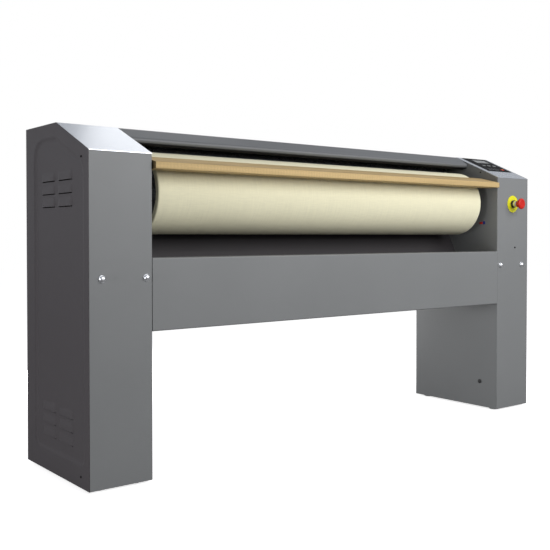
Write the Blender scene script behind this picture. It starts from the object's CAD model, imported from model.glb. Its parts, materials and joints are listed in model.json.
"""The flatwork ironer's looks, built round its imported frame.

Metres, in the row frame: +X runs towards the control column, +Y towards the back, +Z up from the floor.
"""
import json
import math

import bmesh
import bpy
from mathutils import Matrix, Vector


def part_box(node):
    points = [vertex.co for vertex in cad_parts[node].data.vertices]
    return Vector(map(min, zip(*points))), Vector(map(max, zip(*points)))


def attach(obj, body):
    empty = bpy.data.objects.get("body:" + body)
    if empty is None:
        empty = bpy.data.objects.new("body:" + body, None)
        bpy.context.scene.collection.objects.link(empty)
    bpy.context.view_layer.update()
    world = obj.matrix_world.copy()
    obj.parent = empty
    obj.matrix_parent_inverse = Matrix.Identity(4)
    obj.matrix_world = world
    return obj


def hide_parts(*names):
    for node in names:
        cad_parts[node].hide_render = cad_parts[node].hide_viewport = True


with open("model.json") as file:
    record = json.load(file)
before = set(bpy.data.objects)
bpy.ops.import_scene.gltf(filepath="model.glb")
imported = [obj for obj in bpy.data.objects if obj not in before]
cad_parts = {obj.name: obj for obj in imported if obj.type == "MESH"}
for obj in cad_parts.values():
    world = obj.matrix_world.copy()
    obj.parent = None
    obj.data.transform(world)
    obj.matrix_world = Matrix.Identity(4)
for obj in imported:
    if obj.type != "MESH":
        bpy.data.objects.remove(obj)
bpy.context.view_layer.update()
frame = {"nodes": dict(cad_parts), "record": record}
nodes = frame["nodes"]
scene = bpy.context.scene
MM = 0.001

# ---- camera ------------------------------------------------------------------------------------

CAMERA_PLACE = Vector((-1.9962, -2.3160, 0.7124))
CAMERA_YAW = math.radians(38.0552)  # from +Y towards +X
CAMERA_PITCH = math.radians(1.0959)  # downwards
CAMERA_LENS = 54.771
CAMERA_SHIFT = -0.0429


def add_camera():
    """The photograph's camera, solved from the corners of both columns."""
    lens = bpy.data.cameras.new("camera")
    lens.lens = CAMERA_LENS
    lens.sensor_width = 36
    lens.shift_y = CAMERA_SHIFT
    lens.clip_start = 0.05
    camera = bpy.data.objects.new("camera", lens)
    scene.collection.objects.link(camera)
    level = math.cos(CAMERA_PITCH)
    forward = Vector((
        math.sin(CAMERA_YAW) * level,
        math.cos(CAMERA_YAW) * level,
        -math.sin(CAMERA_PITCH),
    ))
    camera.location = CAMERA_PLACE
    camera.rotation_mode = "QUATERNION"
    camera.rotation_quaternion = forward.to_track_quat("-Z", "Y")
    scene.camera = camera


# ---- finishes ----------------------------------------------------------------------------------

TAG_BLUE = (0.012, 0.035, 0.26)
SATIN_CHROME = (0.86, 0.87, 0.90)
CLOTH_TINT = (1.0, 1.02, 1.0)
ROLL_RADIUS = 127 * MM
THREAD_PITCH = 1.3 * MM


def feed(tree, socket, value):
    """Links a socket to another one, or sets its value."""
    if isinstance(value, bpy.types.NodeSocket):
        tree.links.new(value, socket)
    else:
        socket.default_value = value


def mixed(tree, factor, first, second):
    """A mix of two colours, from the first at factor 0 to the second at 1."""
    made = tree.nodes.new("ShaderNodeMix")
    made.data_type = "RGBA"
    # Sockets 0, 6 and 7 are the node's factor and its two colours.
    for index, value in ((0, factor), (6, first), (7, second)):
        feed(tree, made.inputs[index], value)
    return made.outputs[2]


class Finish:
    """A node material round one Principled shader, with helpers for its patterns."""

    def __init__(self, name, roughness, metallic=0.0, **sockets):
        self.material = bpy.data.materials.new(name)
        self.material.use_nodes = True
        self.tree = self.material.node_tree
        self.shader = self.tree.nodes["Principled BSDF"]
        self.place = self.node("ShaderNodeTexCoord").outputs["Object"]
        self.shader.inputs["Roughness"].default_value = roughness
        self.shader.inputs["Metallic"].default_value = metallic
        for key, value in sockets.items():
            self.shader.inputs[key.replace("_", " ")].default_value = value
        self.normal = None

    def node(self, kind, inputs=None, **settings):
        made = self.tree.nodes.new(kind)
        for key, value in settings.items():
            setattr(made, key, value)
        for key, value in (inputs or {}).items():
            self.feed(made.inputs[key], value)
        return made

    def feed(self, socket, value):
        feed(self.tree, socket, value)

    def math(self, operation, first, second=0.0):
        return self.node("ShaderNodeMath", {0: first, 1: second}, operation=operation).outputs[0]

    def axis(self, name):
        return self.node("ShaderNodeSeparateXYZ", {0: self.place}).outputs[name]

    def stretched(self, scale, place=None):
        mapping = self.node("ShaderNodeMapping", {"Vector": place or self.place, "Scale": scale})
        return mapping.outputs[0]

    def noise(self, scale, detail, stretch=None, place=None, distortion=0.0):
        vector = self.stretched(stretch, place) if stretch else (place or self.place)
        settings = {"Vector": vector, "Scale": scale, "Detail": detail, "Distortion": distortion}
        return self.node("ShaderNodeTexNoise", settings).outputs[0]

    def remap(self, value, low, high, start=0.35, end=0.65):
        """Stretches the values from start to end, where most noise lies, to low and high."""
        settings = {"Value": value, "From Min": start, "From Max": end, "To Min": low, "To Max": high}
        return self.node("ShaderNodeMapRange", settings).outputs[0]

    def mix(self, factor, first, second):
        return mixed(self.tree, factor, first, second)

    def color(self, value):
        self.feed(self.shader.inputs["Base Color"], value)

    def roughness(self, value):
        self.feed(self.shader.inputs["Roughness"], value)

    def bump(self, height, distance, strength):
        """Adds a relief on top of those that the finish has."""
        settings = {"Height": height, "Distance": distance, "Strength": strength}
        if self.normal is not None:
            settings["Normal"] = self.normal
        self.normal = self.node("ShaderNodeBump", settings).outputs[0]
        self.feed(self.shader.inputs["Normal"], self.normal)


def shade(color, factor):
    """The colour times a factor, as RGBA."""
    return (*[min(1.0, channel * factor) for channel in color[:3]], 1.0)


def painted(name, color, roughness=0.42, specular=0.4):
    """Powder coat: fine orange peel, faint clouding and a fine dark grain."""
    finish = Finish(name, roughness, Specular_IOR_Level=specular)
    cloud = finish.remap(finish.noise(2.4, 3.0), 0.0, 1.0)
    tone = finish.mix(cloud, shade(color, 0.965), shade(color, 1.035))
    grain = finish.remap(finish.noise(1900.0, 1.0), 0.0, 1.0, 0.3, 0.7)
    finish.color(finish.mix(finish.math("MULTIPLY", grain, 0.35), tone, shade(color, 0.82)))
    patches = finish.noise(9.0, 4.0)
    finish.roughness(finish.remap(patches, roughness - 0.01, roughness + 0.02))
    finish.bump(finish.noise(620.0, 2.0), 0.00012, 0.35)
    return finish.material


def brushed(name, color, roughness, along=(1.0, 30.0, 30.0), streak=0.10):
    """Metal with fine brush lines that run along the axis with the smallest stretch."""
    finish = Finish(name, roughness, 1.0)
    lines = finish.noise(90.0, 5.0, stretch=along)
    fine = finish.noise(420.0, 2.0, stretch=along)
    tone = finish.remap(lines, 1.0 - streak, 1.0 + streak * 0.4)
    finish.color(finish.mix(tone, shade(color, 0.55), shade(color, 1.0)))
    finish.roughness(finish.remap(fine, roughness - 0.05, roughness + 0.10))
    finish.bump(fine, 0.00003, 0.25)
    return finish.material


def turned(name, color, roughness=0.3):
    """Zinc-plated or turned steel: cloudy plating with small spangles and faint tool marks."""
    finish = Finish(name, roughness, 1.0)
    spangle = finish.node("ShaderNodeTexVoronoi", {"Vector": finish.place, "Scale": 260.0})
    cloud = finish.remap(finish.noise(26.0, 4.0), 0.0, 1.0)
    patch = finish.mix(cloud, shade(color, 0.86), shade(color, 1.08))
    finish.color(finish.mix(finish.math("MULTIPLY", spangle.outputs[0], 0.18), patch, shade(color, 0.7)))
    finish.roughness(finish.remap(finish.noise(160.0, 3.0), roughness - 0.06, roughness + 0.12))
    finish.bump(finish.noise(900.0, 2.0), 0.00003, 0.3)
    return finish.material


def casting(name, color, roughness=0.62):
    """Painted casting: a coarse skin with rounded grains."""
    finish = Finish(name, roughness, 0.0, Specular_IOR_Level=0.35)
    cloud = finish.remap(finish.noise(14.0, 4.0), 0.0, 1.0)
    finish.color(finish.mix(cloud, shade(color, 0.8), shade(color, 1.2)))
    finish.roughness(finish.remap(finish.noise(70.0, 3.0), roughness - 0.08, roughness + 0.1))
    finish.bump(finish.noise(310.0, 4.0), 0.0004, 0.6)
    return finish.material


def moulded(name, color, roughness, grain=0.00006, specular=0.5):
    """Moulded plastic: fine spark-eroded grain and a slight flow tone."""
    finish = Finish(name, roughness, 0.0, Specular_IOR_Level=specular)
    flow = finish.remap(finish.noise(38.0, 3.0), 0.0, 1.0)
    finish.color(finish.mix(flow, shade(color, 0.93), shade(color, 1.06)))
    finish.roughness(finish.remap(finish.noise(240.0, 3.0), roughness - 0.05, roughness + 0.06))
    finish.bump(finish.noise(1500.0, 2.0), grain, 0.5)
    return finish.material


def film(name, color):
    """The control panel's printed film: nearly matt, with a fine embossed grain."""
    finish = Finish(name, 0.6, 0.0, Specular_IOR_Level=0.08)
    cloud = finish.remap(finish.noise(60.0, 2.0), 0.0, 1.0)
    finish.color(finish.mix(cloud, shade(color, 0.8), shade(color, 1.3)))
    finish.bump(finish.noise(2400.0, 1.0), 0.00002, 0.4)
    return finish.material


def beech(name, light, dark, end):
    """Oiled beech: long grain along X, growth bands, ray flecks, and dark end grain past x = end."""
    finish = Finish(name, 0.55, 0.0, Specular_IOR_Level=0.12)
    grain = finish.noise(60.0, 6.0, stretch=(0.06, 1.0, 1.0), distortion=0.4)
    bands = finish.noise(11.0, 3.0, stretch=(0.05, 1.0, 1.0), distortion=1.2)
    base = finish.mix(finish.remap(bands, 0.0, 1.0, 0.3, 0.7), light, dark)
    base = finish.mix(finish.remap(grain, 0.0, 0.55, 0.45, 0.75), base, shade(dark, 0.72))
    flecks = finish.node(
        "ShaderNodeTexVoronoi",
        {"Vector": finish.stretched((0.14, 1.0, 1.0)), "Scale": 520.0, "Randomness": 1.0},
    )
    spot = finish.remap(flecks.outputs[0], 1.0, 0.0, 0.10, 0.28)
    base = finish.mix(finish.math("MULTIPLY", spot, 0.45), base, shade(dark, 0.5))
    # The machined front edge shows faint cutter marks across its length.
    marks = finish.node(
        "ShaderNodeTexWave",
        {"Vector": finish.place, "Scale": 27.0, "Distortion": 0.6, "Detail": 1.0},
        bands_direction="X",
    )
    base = finish.mix(finish.math("MULTIPLY", marks.outputs[0], 0.22), base, shade(dark, 0.85))
    reach = finish.math("ABSOLUTE", finish.axis("X"))
    ends = finish.math("GREATER_THAN", reach, end)
    finish.color(finish.mix(ends, base, shade(dark, 0.22)))
    finish.roughness(finish.remap(grain, 0.42, 0.6))
    finish.bump(grain, 0.0002, 0.3)
    finish.bump(spot, 0.00005, 0.2)
    return finish.material


def roll_cloth(name, color, roll_y, roll_z):
    """Woven ironer cloth: warp and weft laid round the roll's axis, with uneven threads."""
    finish = Finish(name, 0.92, 0.0, Specular_IOR_Level=0.15, Sheen_Weight=0.12, Sheen_Roughness=0.6)
    along = finish.axis("X")
    offset_y = finish.math("SUBTRACT", finish.axis("Y"), roll_y)
    offset_z = finish.math("SUBTRACT", finish.axis("Z"), roll_z)
    angle = finish.math("ARCTAN2", offset_z, offset_y)
    around = finish.math("MULTIPLY", angle, ROLL_RADIUS)
    thread = 2 * math.pi / THREAD_PITCH
    warp = finish.math("SINE", finish.math("MULTIPLY", along, thread))
    weft = finish.math("SINE", finish.math("MULTIPLY", around, thread))
    weave = finish.math("MULTIPLY", warp, weft)
    flat = finish.node("ShaderNodeCombineXYZ", {0: along, 1: around, 2: 0.0}).outputs[0]
    slub = finish.noise(260.0, 3.0, stretch=(0.1, 1.0, 1.0), place=flat)
    rib = finish.noise(170.0, 3.0, stretch=(1.0, 0.06, 1.0), place=flat)
    threads = finish.math("ADD", slub, rib)
    tone = finish.remap(threads, 0.0, 1.0, 0.75, 1.25)
    base = finish.mix(tone, shade(color, 1.08), shade(color, 1.17))
    cloud = finish.remap(finish.noise(5.0, 4.0, place=flat), 0.0, 1.0)
    base = finish.mix(finish.math("MULTIPLY", cloud, 0.3), base, shade(color, 1.06))
    speck = finish.remap(weave, 0.0, 0.10, -1.0, 1.0)
    finish.color(finish.mix(speck, base, shade(color, 0.86)))
    finish.bump(threads, 0.0003, 0.25)
    finish.bump(weave, 0.0002, 0.5)
    return finish.material


def make_finishes():
    """One finish for each material slot, and a few for single pieces."""
    roll_low, roll_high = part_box("roll_tube")
    middle = (roll_low + roll_high) / 2
    color = {entry["slot"]: entry["base_color"] for entry in frame["record"]["materials"]}
    wood = color["beech"]
    cloth = [channel * tint for channel, tint in zip(color["roll_cloth"], CLOTH_TINT)]
    board_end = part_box("feed_board")[1].x - MM
    return {
        "grey_paint": painted("grey_paint", color["grey_paint"]),
        "dark_paint": painted("dark_paint", color["dark_paint"], 0.5, 0.3),
        "trough_paint": painted("trough_paint", shade(color["dark_paint"], 0.7), 0.5, 0.3),
        "hood_paint": painted("hood_paint", shade(color["hood_paint"], 1.12)),
        "black_paint": painted("black_paint", color["black_paint"], 0.7, 0.15),
        "stainless": brushed("stainless", color["stainless"], 0.22, (1.0, 40.0, 40.0)),
        "zinc_steel": turned("zinc_steel", color["zinc_steel"]),
        "polished_aluminium": brushed("polished_aluminium", color["polished_aluminium"], 0.34),
        "cast_iron": casting("cast_iron", color["cast_iron"]),
        "chrome": brushed("chrome", color["chrome"], 0.2, (8.0, 1.0, 8.0), streak=0.04),
        "satin_chrome": brushed("satin_chrome", SATIN_CHROME, 0.26, streak=0.03),
        "beech": beech("beech", shade(wood, 1.0), shade(wood, 0.8), board_end),
        "roll_cloth": roll_cloth("roll_cloth", cloth, middle.y, middle.z),
        "black_plastic": moulded("black_plastic", color["black_plastic"], 0.42),
        "grey_plastic": moulded("grey_plastic", color["grey_plastic"], 0.4),
        "red_plastic": moulded("red_plastic", shade(color["red_plastic"], 0.95), 0.4, 0.00002, 0.25),
        "blue_plastic": moulded("blue_plastic", TAG_BLUE, 0.4, 0.00002, 0.25),
        "yellow_plastic": moulded("yellow_plastic", color["yellow_plastic"], 0.38),
        "panel_film": film("panel_film", shade(color["black_plastic"], 0.6)),
    }


# ---- meshes ------------------------------------------------------------------------------------

FRONT = Vector((0, -1, 0))
BACK = Vector((0, 1, 0))
LEFT = Vector((-1, 0, 0))
RIGHT = Vector((1, 0, 0))
UP = Vector((0, 0, 1))
SHARP_ANGLE = math.radians(32)
RIBS = 20
RIB_DEPTH = 0.022  # as a share of the radius
CROSS_WING = 0.28  # half a wing's width, as a share of the recess's radius


def mesh_object(name, vertices, faces, slot, body, smooth=True, finish=None):
    """A mesh piece in its slot's finish or its own, riding on a body."""
    mesh = bpy.data.meshes.new(name)
    mesh.from_pydata([tuple(v) for v in vertices], [], faces)
    mesh.validate()
    bm = bmesh.new()
    bm.from_mesh(mesh)
    bmesh.ops.recalc_face_normals(bm, faces=bm.faces)
    bm.to_mesh(mesh)
    bm.free()
    if smooth:
        mesh.polygons.foreach_set("use_smooth", [True] * len(mesh.polygons))
        mesh.set_sharp_from_angle(angle=SHARP_ANGLE)
    made = bpy.data.objects.new(name, mesh)
    scene.collection.objects.link(made)
    made.data.materials.append(finishes[finish or slot])
    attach(made, body)
    return made


def pointing(direction, origin):
    """Turns +Z to the direction, and moves the origin."""
    turn = Vector(direction).to_track_quat("Z", "Y").to_matrix().to_4x4()
    return Matrix.Translation(Vector(origin)) @ turn


def outline_factor(tag, angle):
    """What a tagged ring's radius is multiplied by: a hexagon, a ribbed grip or a cross recess."""
    if tag == "hex":
        sixth = math.pi / 3
        return 1 / math.cos((angle % sixth) - sixth / 2)
    if tag == "rib":
        return 1 + RIB_DEPTH * math.cos(RIBS * angle)
    from_wing = (angle + math.pi / 4) % (math.pi / 2) - math.pi / 4
    return min(1.0, CROSS_WING / max(abs(math.sin(from_wing)), 1e-6))


def revolved(profile, segments):
    """Vertices and faces of a closed revolve about Z.

    Profile points are (radius, height) in millimetres, with a tag where the ring isn't round.
    """
    vertices = []
    rings = []
    for entry in profile:
        radius, height = entry[0] * MM, entry[1] * MM
        tag = entry[2] if len(entry) > 2 else None
        if radius == 0:
            rings.append([len(vertices)])
            vertices.append((0.0, 0.0, height))
            continue
        ring = []
        for index in range(segments):
            angle = 2 * math.pi * index / segments
            reach = radius * (outline_factor(tag, angle) if tag else 1.0)
            ring.append(len(vertices))
            vertices.append((reach * math.cos(angle), reach * math.sin(angle), height))
        rings.append(ring)
    faces = []
    closed = len(rings[0]) > 1 and len(rings[-1]) > 1
    pairs = list(zip(rings, rings[1:])) + ([(rings[-1], rings[0])] if closed else [])
    for lower, upper in pairs:
        for index in range(segments):
            after = (index + 1) % segments
            if len(lower) == 1:
                faces.append((lower[0], upper[index], upper[after]))
            elif len(upper) == 1:
                faces.append((lower[index], lower[after], upper[0]))
            else:
                faces.append((lower[index], lower[after], upper[after], upper[index]))
    return vertices, faces


def turned_piece(name, profile, place, slot, body, segments, finish=None):
    """A revolved piece, its profile in millimetres and its axis laid by place."""
    vertices, faces = revolved(profile, segments)
    return mesh_object(name, [place @ Vector(v) for v in vertices], faces, slot, body, finish=finish)


def screw(name, origin, direction, radius=4.2, slot="zinc_steel"):
    """A pan-head screw with a cross recess, seated on a face of the cabinet."""
    rise = radius * 0.62
    cross = radius * 0.55
    profile = [
        (0, 0.02), (radius, 0.02), (radius, rise * 0.45), (radius * 0.9, rise * 0.78),
        (radius * 0.7, rise * 0.95), (cross * 1.05, rise, "cross"),
        (cross, rise * 0.98, "cross"), (cross * 0.8, rise * 0.35, "cross"), (0, rise * 0.2),
    ]
    turned_piece(name, profile, pointing(direction, origin), slot, "cabinet", 32)


def lock_nut(name, origin):
    """A hexagon nut with chamfered corners, lying on a flange round a foot's thread."""
    half = 9.5
    bore = 6.35
    profile = [
        (bore, 0), (half * 0.98, 0), (half, 0.6, "hex"), (half, 7.4, "hex"), (half * 0.98, 8),
        (bore, 8),
    ]
    turned_piece(name, profile, pointing(UP, origin), "zinc_steel", "cabinet", 48)


# ---- the CAD nodes' edges and finishes ---------------------------------------------------------

# Thin sheets and films, whose edges are barely broken.
THIN = {
    "linen_trough", "hood_shield", "bottom_pan", "control_membrane", "display_window",
    "left_slope_plate", "control_fascia",
}
THIN_EDGE = 0.2 * MM
PLAIN_EDGE = 0.5 * MM
FLAT_SEAM = math.radians(0.4)  # facets that turn less than this are one flat face
ROUNDED_CORNER = math.radians(33)  # edges that turn more than this are rounded
ROUND_EDGES = {
    "feed_board": 1.6 * MM, "heated_chest": 0.8 * MM, "gearbox": 2.0 * MM, "left_bearing": 1.2 * MM,
    "right_bearing": 1.2 * MM, "control_box": 1.5 * MM, "drive_pinion": 0.4 * MM,
}
# Nodes with a finish other than their slot's.
OWN_FINISH = {"control_membrane": "panel_film", "linen_trough": "trough_paint"}
SLOTTED = {"rear_cover", "hood", "left_bearing", "right_bearing"}
# The chest arm's stub turns against this box's back wall, which is drawn in to give it room.
DRAWN_IN = {"control_box": 0.3 * MM}


def soften(node, width):
    """Joins the node's facets, clears its flat seams and rounds its edges, by modifiers alone.

    A slotted sheet keeps its seams, because one face can't hold many holes. Folds and curves
    turn less than the bevel's limit at each facet, and weighted normals shade them as one round
    surface between flat walls.
    """
    piece = nodes[node]
    mesh = piece.data
    for name in ("custom_normal", "sharp_edge", "sharp_face"):
        if name in mesh.attributes:
            mesh.attributes.remove(mesh.attributes[name])
    mesh.polygons.foreach_set("use_smooth", [True] * len(mesh.polygons))
    weld = piece.modifiers.new("weld", "WELD")
    weld.merge_threshold = 0.01 * MM
    if node in DRAWN_IN:
        room = piece.modifiers.new("room", "DISPLACE")
        room.strength = -DRAWN_IN[node]
        room.mid_level = 0.0
    if node not in SLOTTED:
        flat = piece.modifiers.new("flat", "DECIMATE")
        flat.decimate_type = "DISSOLVE"
        flat.angle_limit = FLAT_SEAM
    edge = piece.modifiers.new("edge", "BEVEL")
    edge.width = width
    edge.segments = 2
    edge.limit_method = "ANGLE"
    edge.angle_limit = ROUNDED_CORNER
    edge.use_clamp_overlap = True
    normals = piece.modifiers.new("normals", "WEIGHTED_NORMAL")
    normals.weight = 100 if node in SLOTTED else 80


def dress_nodes():
    """Gives every CAD node its finish and its rounded edges."""
    slots = {entry["node"]: entry["material_slot"] for entry in frame["record"]["subparts"]}
    for node, piece in nodes.items():
        piece.data.materials.clear()
        piece.data.materials.append(finishes[OWN_FINISH.get(node, slots[node])])
        soften(node, ROUND_EDGES.get(node, THIN_EDGE if node in THIN else PLAIN_EDGE))


# ---- the roll's cover --------------------------------------------------------------------------


def add_roll_cover():
    """The cloth over its felt: soft shoulders, a lapped edge, and ends drawn in over the tube."""
    low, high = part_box("roll_padding")
    middle = (low + high) / 2
    radius = (high.z - low.z) / 2
    half = (high.x - low.x) / 2
    bore = (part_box("roll_tube")[1].z - middle.z) + 0.25 * MM
    bore_end = half - 2.0 * MM
    shoulder = 4 * MM
    shoulder_steps = 8
    face_depth = 13 * MM
    face_steps = 6
    face_crown = 0.3 * MM
    hem_depth = 13.4 * MM
    hem_inset = 1.6 * MM
    around = 176
    along = 44
    lap_angle = math.radians(-100)
    lap_width = math.radians(7)
    lap_height = 0.7 * MM
    slack = 0.1 * MM
    wave_height = 0.12 * MM
    folds = 44
    fold_depth = 0.7 * MM
    fold_lean = 0.6
    gathered = 0.2  # a row with a larger pucker lies in folds

    def end_rows():
        """(x, radius, pucker) of one end's rows, from its shoulder in towards the tube."""
        for step in range(shoulder_steps + 1):
            share = step / shoulder_steps
            turn = math.pi / 2 * step / shoulder_steps
            reach = half - shoulder + shoulder * math.sin(turn)
            yield reach, radius - shoulder + shoulder * math.cos(turn), 0.25 * share
        for step in range(1, face_steps + 1):
            share = step / face_steps
            crown = face_crown * math.sin(math.pi * share)
            yield half + crown, radius - shoulder - face_depth * share, share
        yield half - hem_inset, radius - shoulder - hem_depth, 1.0

    right = list(end_rows())
    left = [(-x, reach, pucker) for x, reach, pucker in reversed(right)]
    flat = [
        (step * (half - shoulder) / along * 2 - (half - shoulder), radius, 0.0)
        for step in range(1, along)
    ]
    inner = [(bore_end, bore, 0.0), (0.0, bore, 0.0), (-bore_end, bore, 0.0)]
    rows = left + flat + right + inner
    vertices = []
    for x, reach, pucker in rows:
        on_bore = abs(reach - bore) < 1e-6
        for index in range(around):
            angle = 2 * math.pi * index / around
            # The lapped edge is a step up at its angle, and slopes away over its width.
            gap = (angle - lap_angle + math.pi) % (2 * math.pi) - math.pi
            lap = lap_height * max(0.0, 1 - abs(gap) / lap_width) if gap > 0 and not on_bore else 0.0
            wave = wave_height * math.sin(7 * angle + 9 * x) * math.sin(23 * x + 1.3)
            lies_flat = pucker < gathered and reach > bore + MM
            spread = reach + (-lap_height - slack + lap + wave if lies_flat else 0.0)
            fold = math.sin(folds * angle) * fold_depth * pucker
            station = x + math.copysign(fold, x) * fold_lean if pucker > gathered else x
            vertices.append((
                middle.x + station,
                middle.y + spread * math.cos(angle),
                middle.z + spread * math.sin(angle),
            ))
    faces = []
    for row in range(len(rows)):
        after = (row + 1) % len(rows)
        for index in range(around):
            beside = (index + 1) % around
            faces.append((
                row * around + index, row * around + beside,
                after * around + beside, after * around + index,
            ))
    cover = mesh_object("roll_cover", vertices, faces, "roll_cloth", "roll")
    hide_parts("roll_padding")


# ---- bolts, screws and nuts --------------------------------------------------------------------


def dome(radius, rise, low, steps=8):
    """Profile points of a dome from its rim to its top."""
    points = []
    for step in range(steps):
        turn = math.pi / 2 * step / steps
        points.append((radius * math.cos(turn), low + rise * math.sin(turn)))
    return points + [(0, low + rise)]


def add_dome_bolts():
    """Polished dome bolts, each in the place of its plain node."""
    head = 9.5
    profile = [
        (0, -18), (4.2, -18), (4.8, -17.4), (4.8, 0.3), (10.2, 0.3), (10.5, 0.6), (10.5, 1.5),
        (10.2, 1.8), *dome(head, 7.7, 1.8),
    ]
    for side in ("left", "right"):
        for place in ("inner", "outer"):
            node = f"{side}_{place}_dome_bolt"
            low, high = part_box(node)
            middle = (low + high) / 2
            seat = pointing(FRONT, (middle.x, low.y + head * MM, middle.z))
            name = f"{node}_polished"
            bolt = turned_piece(name, profile, seat, "chrome", "cabinet", 48, "satin_chrome")
            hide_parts(node)


def add_column_screws():
    """Dark screws of the side panels, the right column's front and the inner walls."""
    left_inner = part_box("left_casing")[1].x
    low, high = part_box("right_casing")
    front, top, foot = low.y, high.z, low.z
    panel_places = [(front + 42 * MM, top - 111.5 * MM), (front + 52 * MM, foot + 31.5 * MM)]
    panels = (
        ("left", LEFT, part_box("left_side_panel")[0].x),
        ("right", RIGHT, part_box("right_side_panel")[1].x),
    )
    for side, direction, face in panels:
        for index, (y, z) in enumerate(panel_places):
            name = f"{side}_panel_screw_{index}"
            screw(name, (face, y, z), direction, 3.4, "black_paint")
    front_place = (0.908, front, 0.663)
    screw("right_front_screw", front_place, FRONT, 3.6, "black_paint")
    for side, direction, face in (("left", RIGHT, left_inner), ("right", LEFT, low.x)):
        place = (face, front + 86 * MM, top - 70 * MM)
        screw(f"{side}_wall_screw", place, direction, 3, "black_paint")


def add_rear_screws():
    """A row of screws along the hood's rear edge, and one along the rear cover's lower edge."""
    hood_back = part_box("hood")[1].y
    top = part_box("right_casing")[1].z
    cover_low, cover_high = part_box("rear_cover")
    hood_inset = 13 * MM
    cover_inset = 14 * MM
    first, pitch, count = -0.75, 0.3, 6
    for index in range(count):
        x = first + pitch * index
        screw(f"hood_screw_{index}", (x, hood_back, top - hood_inset), BACK)
        screw(f"cover_screw_{index}", (x, cover_high.y, cover_low.z + cover_inset), BACK)


def add_lock_nuts():
    """The levelling feet's lock nuts, on the flanges of the side frames."""
    flange = 5 * MM
    clearance = 0.1 * MM
    for side in ("left", "right"):
        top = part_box(f"{side}_frame")[0].z + flange + clearance
        for end in ("front", "rear"):
            for place in ("inner", "outer"):
                name = f"{side}_{end}_{place}"
                low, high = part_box(f"{name}_foot")
                lock_nut(f"{name}_lock_nut", ((low.x + high.x) / 2, (low.y + high.y) / 2, top))


# ---- the emergency stop, the gland and the wall tags -------------------------------------------


def add_emergency_stop():
    """The stop's four pieces, turned finely, each in the place of its plain node."""
    low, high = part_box("stop_ring")
    seat = 0.3 * MM
    place = pointing(FRONT, ((low.x + high.x) / 2, high.y + seat, (low.z + high.z) / 2))

    def turn(node, profile, slot, body, finish=None):
        piece = turned_piece(f"{node}_turned", profile, place, slot, body, 96, finish)
        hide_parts(node)

    turn("stop_ring", [
        (11.5, 0.3), (34.2, 0.3), (34.5, 0.6), (34.5, 1.5), (34.0, 1.95), (20.6, 1.95), (20.2, 1.7),
        (19.8, 1.95), (11.5, 1.95),
    ], "yellow_plastic", "cabinet")
    turn("stop_collar", [
        (8.3, -28), (10.6, -28), (11, -27.6), (11, -7), (15, -7), (15, -2.3), (11, -2.3), (11, 2.3),
        (15.2, 2.3), (15.5, 2.6), (15.5, 8.8), (15.2, 9.5), (14.6, 9.95), (13.1, 9.95), (12.8, 9.7),
        (12.8, 4), (8.3, 4),
    ], "black_plastic", "cabinet")
    turn("stop_stem", [
        (0, -26), (7.6, -26), (8, -25.6), (8, 9.3), (12.2, 9.3), (12.5, 9.6), (12.5, 24.7), (12.2, 25),
        (8, 25), (8, 29.6), (7.6, 30), (0, 30),
    ], "chrome", "stop_plunger", finish="satin_chrome")
    turn("stop_head", [
        (0, 30.35), (8.0, 30.35), (8.3, 30.1), (8.3, 25.3), (13.1, 25.3), (13.5, 25.7), (13.6, 27.5),
        (14.1, 29.6, "rib"), (15.6, 32.4, "rib"), (18.0, 36.0, "rib"), (20.4, 38.9, "rib"),
        (21.5, 40.9), (21.95, 42.6), (21.8, 44.4), (20.8, 46.1), (18.8, 47.3), (16.2, 47.9),
        (13.2, 48.0), (12.7, 47.6), (8, 47.3), (0, 47.2),
    ], "red_plastic", "stop_knob")


def add_gland():
    """The cable gland with its ribbed cap nut, and its hexagon nut inside the column."""
    low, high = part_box("cable_gland")
    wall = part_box("right_casing")[1].y
    place = pointing(BACK, ((low.x + high.x) / 2, wall, (low.z + high.z) / 2))
    nut = 11.968
    profile = [
        (5, -12), (9.4, -12), (9.7, -11.7), (9.7, -6), (nut, -6, "hex"), (nut, -2.3, "hex"),
        (9.7, -2.3), (9.7, 0.3), (13.4, 0.3), (13.4, 3.4), (13.7, 4.2, "rib"), (13.6, 11.4, "rib"),
        (12.9, 12.6, "rib"), (12.4, 13.4), (12.3, 20.8, "rib"), (11.2, 24.2), (9.2, 28.2), (8.6, 28.95),
        (5.6, 28.95), (5, 28.4),
    ]
    gland = turned_piece("cable_gland_ribbed", profile, place, "black_plastic", "cabinet", 120)
    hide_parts("cable_gland")


def add_wall_tags():
    """The small red and blue tags on the right column's inner wall, below the roll's axis."""
    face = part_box("right_casing")[0].x - 0.05 * MM
    around = 32
    corner_power = 0.4
    tags = (
        ("red_tag", "red_plastic", "red_plastic", (-0.1280, 0.7634), 8.0 * MM, 4.2 * MM),
        ("blue_tag", "grey_plastic", "blue_plastic", (-0.1425, 0.7640), 5.2 * MM, 6.4 * MM),
    )
    for name, slot, finish, (y, z), half_width, half_height in tags:
        outline = []
        for step in range(around):
            angle = 2 * math.pi * (step + 0.5) / around
            across, up = (
                math.copysign(abs(value) ** corner_power, value)
                for value in (math.cos(angle), math.sin(angle))
            )
            outline.append((across * half_width, up * half_height))
        vertices = []
        for out, grow in ((0.0, 1.0), (1.0 * MM, 1.0), (1.4 * MM, 0.9)):
            vertices += [(face - out, y + across * grow, z + up * grow) for across, up in outline]
        faces = [tuple(range(around)), tuple(range(2 * around, 3 * around))]
        for low in (0, around):
            for index in range(around):
                after = (index + 1) % around
                faces.append((low + index, low + after, low + after + around, low + index + around))
        mesh_object(name, vertices, faces, slot, "cabinet", finish=finish)


# ---- print on the control panel ----------------------------------------------------------------


# The control slope falls this much over this depth of the column.
SLOPE_RISE = 94 * MM
SLOPE_RUN = 212 * MM
# How far the print stands out of the slope: on the membrane, and on the keys' caps.
ON_MEMBRANE = 1.12 * MM
ON_KEY = 2.02 * MM
PRINT_THICKNESS = 0.06 * MM


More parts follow.
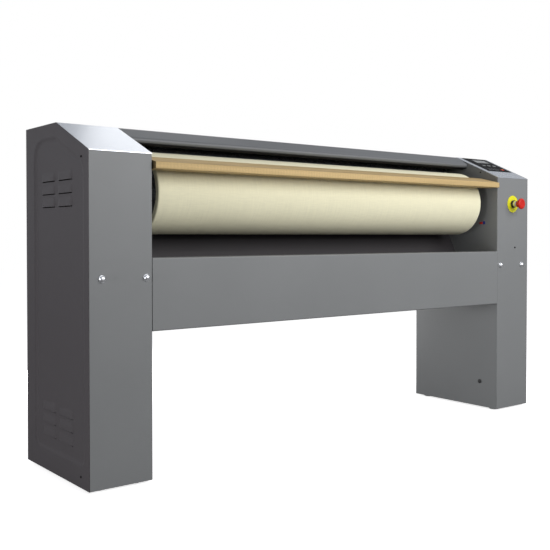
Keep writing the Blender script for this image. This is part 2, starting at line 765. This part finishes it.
def slope_place():
    """The control slope's plane: X across the column, Y up the slope, Z out of it."""
    low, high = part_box("control_fascia")
    foot = Vector((low.x, low.y, high.z - SLOPE_RISE))
    return Matrix.Translation(foot) @ Matrix.Rotation(math.atan2(SLOPE_RISE, SLOPE_RUN), 4, "X")


def printed(name, outline, at, out, slot, body):
    """A flat printed shape: an (x, y) outline in millimetres, extruded out of the slope."""
    place = slope_place()
    count = len(outline)
    vertices = []
    for height in (out, out + PRINT_THICKNESS):
        for x, y in outline:
            vertices.append(place @ Vector(((at[0] + x) * MM, (at[1] + y) * MM, height)))
    faces = [tuple(reversed(range(count))), tuple(range(count, 2 * count))]
    for index in range(count):
        after = (index + 1) % count
        faces.append((index, after, after + count, index + count))
    mesh_object(name, vertices, faces, slot, body, smooth=False)


def box_outline(half_width, half_height):
    """A rectangle's corners, in order."""
    return [
        (-half_width, -half_height), (half_width, -half_height),
        (half_width, half_height), (-half_width, half_height),
    ]


def frame_outline(half_width, half_height, line=0.8):
    """A rectangular line as one outline, slit at its lower left corner."""
    turns = [(-1, -1), (1, -1), (1, 1), (-1, 1), (-1, -0.999)]
    outside = [(u * half_width, v * half_height) for u, v in turns]
    inside = [(u * (half_width - line), v * (half_height - line)) for u, v in reversed(turns)]
    return outside + inside


def circle_outline(radius, steps=24):
    """Points round a circle."""
    turns = [step * 2 * math.pi / steps for step in range(steps)]
    return [(radius * math.cos(turn), radius * math.sin(turn)) for turn in turns]


def nought_outline(radius, hole):
    """A ring as one outline, slit on its right."""
    slit = 0.001
    inside = list(reversed(circle_outline(hole)[1:]))
    return circle_outline(radius) + [(radius, -slit), (hole, -slit)] + inside + [(hole, slit)]


def add_print():
    """The signs on the keys, and the lines round the display and the dial's scale."""
    display_row, key_row, dial_row = 192.5, 142, 97.5
    first_tick, tick_pitch, ticks = 63, 12, 5
    up = [(0, 3.2), (-4.2, -2.2), (4.2, -2.2)]
    down = [(-x, -y) for x, y in up]
    bar = box_outline(1, 3)
    nought = nought_outline(3.2, 2.1)
    printed("down_arrow", down, (76, key_row), ON_KEY, "black_paint", "key_down")
    printed("up_arrow", up, (110, key_row), ON_KEY, "black_paint", "key_up")
    printed("start_bar", bar, (144, key_row), ON_KEY, "black_paint", "key_start")
    printed("stop_nought", nought, (147, dial_row), ON_KEY, "yellow_plastic", "key_stop")
    lines = [
        ("display_line", frame_outline(45, 19), (115, display_row)),
        ("dial_line", frame_outline(33, 6.5), (87, dial_row)),
    ]
    for index in range(ticks):
        at = (first_tick + tick_pitch * index, dial_row)
        lines.append((f"dial_tick_{index}", box_outline(0.6, 2.4), at))
    for name, outline, at in lines:
        printed(name, outline, at, ON_MEMBRANE, "grey_plastic", "cabinet")


# ---- floor, lamps and background ---------------------------------------------------------------


def add_floor():
    """A floor that is white to the camera and keeps the object's shadow."""
    reach = 14.0
    mesh = bpy.data.meshes.new("floor")
    corners = [(-reach, -reach, 0), (reach, -reach, 0), (reach, reach, 0), (-reach, reach, 0)]
    mesh.from_pydata(corners, [], [(0, 1, 2, 3)])
    floor = bpy.data.objects.new("floor", mesh)
    scene.collection.objects.link(floor)
    finish = Finish("floor", 0.9, Specular_IOR_Level=0.0)
    seen = finish.node("ShaderNodeLightPath").outputs["Is Camera Ray"]
    cloud = finish.remap(finish.noise(1.5, 2.0), 0.0, 1.0)
    pale = finish.mix(cloud, (0.97, 0.97, 0.97, 1), (1, 1, 1, 1))
    finish.color(finish.mix(seen, (0.30, 0.30, 0.30, 1), pale))
    # The glow lifts it to white, and the light that falls on it still shows the shadow.
    finish.feed(finish.shader.inputs["Emission Color"], (1, 1, 1, 1))
    finish.feed(finish.shader.inputs["Emission Strength"], finish.math("MULTIPLY", seen, 0.8))
    # It is clear from below, where it would hide the whole object.
    below = finish.node("ShaderNodeNewGeometry").outputs["Backfacing"]
    finish.feed(finish.shader.inputs["Alpha"], finish.math("SUBTRACT", 1.0, below))
    mesh.materials.append(finish.material)


def add_lamp(name, place, target, width, height, power):
    """A rectangular lamp in watts, aimed at a point."""
    light = bpy.data.lights.new(name, "AREA")
    light.shape = "RECTANGLE"
    light.size = width
    light.size_y = height
    light.energy = power
    lamp = bpy.data.objects.new(name, light)
    scene.collection.objects.link(lamp)
    lamp.location = place
    aim = Vector(target) - Vector(place)
    lamp.rotation_mode = "QUATERNION"
    lamp.rotation_quaternion = aim.to_track_quat("-Z", "Y")


def add_background():
    """White to the camera, a softer white in reflections, and dimmer still as light."""
    world = bpy.data.worlds.new("studio")
    scene.world = world
    world.use_nodes = True
    tree = world.node_tree
    background = tree.nodes["Background"]
    path = tree.nodes.new("ShaderNodeLightPath").outputs
    light = (0.20, 0.20, 0.21, 1)
    reflection = (0.50, 0.52, 0.55, 1)
    unseen = mixed(tree, path["Is Glossy Ray"], light, reflection)
    shown = mixed(tree, path["Is Camera Ray"], unseen, (1, 1, 1, 1))
    feed(tree, background.inputs["Color"], shown)


scene.view_settings.view_transform = "Standard"
add_camera()
finishes = make_finishes()
dress_nodes()
add_roll_cover()
add_dome_bolts()
add_column_screws()
add_rear_screws()
add_lock_nuts()
add_emergency_stop()
add_gland()
add_wall_tags()
add_print()
add_floor()
add_lamp("key", (0.85, -2.6, 1.9), (0.2, 0.0, 0.85), 3.2, 2.0, 86)
add_lamp("left", (-4.2, -0.35, 0.4), (0.0, 0.0, 0.45), 1.2, 0.6, 60)
add_lamp("rear", (-0.25, 2.0, 0.4), (0.8, 0.0, 0.35), 0.6, 0.6, 26)
add_lamp("slope_card", (0.38, 1.28, 2.26), (-0.89, -0.1, 1.0), 0.85, 0.55, 1.35)
add_background()
